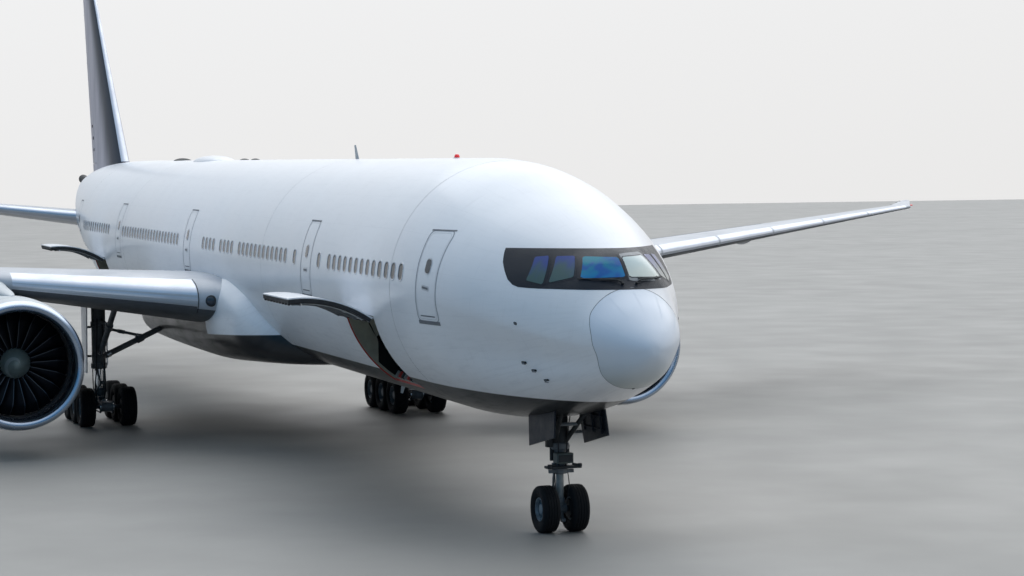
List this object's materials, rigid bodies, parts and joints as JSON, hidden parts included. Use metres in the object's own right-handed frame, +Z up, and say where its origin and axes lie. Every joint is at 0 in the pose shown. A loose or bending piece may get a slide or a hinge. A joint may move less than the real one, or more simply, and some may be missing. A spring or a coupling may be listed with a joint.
{
  "type": "wide body twin-engine airliner, half-scale model",
  "caption": "Long low-wing twin-engine airliner on tricycle gear, cargo doors open, with turning fans, wheels, steering and control surfaces.",
  "frame": {"origin": "on the ground, midway between nose and tail, on the plane of symmetry", "axes": "+X towards the nose, +Y to port, +Z up"},
  "size_m": [36.93, 32.4, 9.25],
  "materials": {
    "white_paint": "pearl white gloss paint",
    "radome_paint": "gloss paint over a moulded dome",
    "wing_grey": "satin grey paint",
    "fin_paint": "gloss black paint",
    "black_paint": "gloss black paint",
    "red_paint": "gloss red paint",
    "bare_metal": "polished bare metal",
    "engine_metal": "heat stained metal",
    "fan_blades": "dark satin composite with metal edges",
    "gear_steel": "grey enamel over steel",
    "chrome_rod": "ground chrome",
    "tyre": "worn black rubber",
    "rubber": "black rubber seal",
    "hub_paint": "pale blue grey enamel",
    "window_glass": "dark glazing",
    "lamp_glass": "clear lamp cover",
    "hold_liner": "scuffed lining"
  },
  "bodies": {
    "airframe": {"radome": "radome_paint", "nose_section": "white_paint", "forward_section": "white_paint", "centre_section": "white_paint", "rear_section": "white_paint", "tail_section": "white_paint", "tail_cone": "bare_metal", "wing_fairing": "white_paint", "fin": "fin_paint", "nose_leg": "gear_steel", "wing_left": "wing_grey", "inboard_flap_left": "wing_grey", "outboard_flap_left": "wing_grey", "nacelle_left": "white_paint", "engine_core_left": "engine_metal", "pylon_left": "white_paint", "main_leg_left": "gear_steel", "strut_door_left": "white_paint", "nose_gear_door_left": "black_paint", "bogie_beam_left": "gear_steel", "wing_right": "wing_grey", "inboard_flap_right": "wing_grey", "outboard_flap_right": "wing_grey", "nacelle_right": "white_paint", "engine_core_right": "engine_metal", "pylon_right": "white_paint", "main_leg_right": "gear_steel", "strut_door_right": "white_paint", "nose_gear_door_right": "black_paint", "bogie_beam_right": "gear_steel"},
    "nose_fork": {"nose_fork": "gear_steel"},
    "nose_wheels": {"nose_wheels": "tyre"},
    "rudder": {"rudder": "fin_paint"},
    "stabiliser": {"stabiliser_left": "wing_grey", "stabiliser_right": "wing_grey"},
    "forward_cargo_door": {"forward_cargo_door": "white_paint"},
    "aft_cargo_door": {"aft_cargo_door": "white_paint"},
    "aft_axle_left": {"aft_axle_beam_left": "gear_steel"},
    "front_wheels_left": {"front_wheels_left": "tyre"},
    "middle_wheels_left": {"middle_wheels_left": "tyre"},
    "rear_wheels_left": {"rear_wheels_left": "tyre"},
    "fan_left": {"fan_left": "fan_blades"},
    "aileron_left": {"aileron_left": "wing_grey"},
    "flaperon_left": {"flaperon_left": "wing_grey"},
    "elevator_left": {"elevator_left": "wing_grey"},
    "aft_axle_right": {"aft_axle_beam_right": "gear_steel"},
    "front_wheels_right": {"front_wheels_right": "tyre"},
    "middle_wheels_right": {"middle_wheels_right": "tyre"},
    "rear_wheels_right": {"rear_wheels_right": "tyre"},
    "fan_right": {"fan_right": "fan_blades"},
    "aileron_right": {"aileron_right": "wing_grey"},
    "flaperon_right": {"flaperon_right": "wing_grey"},
    "elevator_right": {"elevator_right": "wing_grey"}
  },
  "joints": [
    {"name": "nose_steering", "type": "hinge", "parent": "airframe", "child": "nose_fork", "pos_m": [15.52, 0, 0.75], "axis": [0, 0, 1], "range_deg": [-70, 70]},
    {"name": "nose_wheels_spin", "type": "hinge", "parent": "nose_fork", "child": "nose_wheels", "pos_m": [15.52, 0, 0.273], "axis": [0, 1, 0], "continuous": true},
    {"name": "aft_axle_steering_left", "type": "hinge", "parent": "airframe", "child": "aft_axle_left", "pos_m": [-0.55, 2.7425, 0.33], "axis": [0, 0, 1], "range_deg": [-8, 8]},
    {"name": "front_wheels_spin_left", "type": "hinge", "parent": "airframe", "child": "front_wheels_left", "pos_m": [0.64, 2.7425, 0.33], "axis": [0, 1, 0], "continuous": true},
    {"name": "middle_wheels_spin_left", "type": "hinge", "parent": "airframe", "child": "middle_wheels_left", "pos_m": [-0.09, 2.7425, 0.33], "axis": [0, 1, 0], "continuous": true},
    {"name": "rear_wheels_spin_left", "type": "hinge", "parent": "aft_axle_left", "child": "rear_wheels_left", "pos_m": [-0.82, 2.7425, 0.33], "axis": [0, 1, 0], "continuous": true},
    {"name": "fan_spin_left", "type": "hinge", "parent": "airframe", "child": "fan_left", "pos_m": [4.815, 4.805, 1.415], "axis": [1, 0, 0], "continuous": true},
    {"name": "aileron_hinge_left", "type": "hinge", "parent": "airframe", "child": "aileron_left", "pos_m": [-3.30606, 11.4787, 3.12725], "axis": [-0.4331, 0.8979, 0.079], "range_deg": [-20, 30]},
    {"name": "flaperon_hinge_left", "type": "hinge", "parent": "airframe", "child": "flaperon_left", "pos_m": [-0.34518, 4.4668, 2.5102], "axis": [-0.0878, 0.9923, 0.0873], "range_deg": [-30, 12]},
    {"name": "elevator_hinge_left", "type": "hinge", "parent": "stabiliser", "child": "elevator_left", "pos_m": [-15.9608, 1.1742, 3.4308], "axis": [-0.4175, 0.9019, 0.1112], "range_deg": [-27, 33]},
    {"name": "aft_axle_steering_right", "type": "hinge", "parent": "airframe", "child": "aft_axle_right", "pos_m": [-0.55, -2.7425, 0.33], "axis": [0, 0, 1], "range_deg": [-8, 8]},
    {"name": "front_wheels_spin_right", "type": "hinge", "parent": "airframe", "child": "front_wheels_right", "pos_m": [0.64, -2.7425, 0.33], "axis": [0, 1, 0], "continuous": true},
    {"name": "middle_wheels_spin_right", "type": "hinge", "parent": "airframe", "child": "middle_wheels_right", "pos_m": [-0.09, -2.7425, 0.33], "axis": [0, 1, 0], "continuous": true},
    {"name": "rear_wheels_spin_right", "type": "hinge", "parent": "aft_axle_right", "child": "rear_wheels_right", "pos_m": [-0.82, -2.7425, 0.33], "axis": [0, 1, 0], "continuous": true},
    {"name": "fan_spin_right", "type": "hinge", "parent": "airframe", "child": "fan_right", "pos_m": [4.815, -4.805, 1.415], "axis": [1, 0, 0], "continuous": true},
    {"name": "aileron_hinge_right", "type": "hinge", "parent": "airframe", "child": "aileron_right", "pos_m": [-3.30606, -11.4787, 3.12725], "axis": [0.4331, 0.8979, -0.079], "range_deg": [-20, 30]},
    {"name": "flaperon_hinge_right", "type": "hinge", "parent": "airframe", "child": "flaperon_right", "pos_m": [-0.34518, -4.4668, 2.5102], "axis": [0.0878, 0.9923, -0.0873], "range_deg": [-30, 12]},
    {"name": "elevator_hinge_right", "type": "hinge", "parent": "stabiliser", "child": "elevator_right", "pos_m": [-15.9608, -1.1742, 3.4308], "axis": [0.4175, 0.9019, -0.1112], "range_deg": [-27, 33]},
    {"name": "stabiliser_trim", "type": "hinge", "parent": "airframe", "child": "stabiliser", "pos_m": [-15.135, 0, 3.38], "axis": [0, 1, 0], "range_deg": [-4, 11]},
    {"name": "rudder_hinge", "type": "hinge", "parent": "airframe", "child": "rudder", "pos_m": [-15.91715, 0, 4.6425], "axis": [-0.4263, 0, 0.9046], "range_deg": [-27, 27]},
    {"name": "forward_cargo_door_hinge", "type": "hinge", "parent": "airframe", "child": "forward_cargo_door", "pos_m": [13.015, -1.50201, 2.39294], "axis": [0.9999, 0, -0.012], "range_deg": [0, 140]},
    {"name": "aft_cargo_door_hinge", "type": "hinge", "parent": "airframe", "child": "aft_cargo_door", "pos_m": [-6.735, -1.50201, 2.62994], "axis": [0.9999, 0, -0.012], "range_deg": [0, 140]}
  ]
}
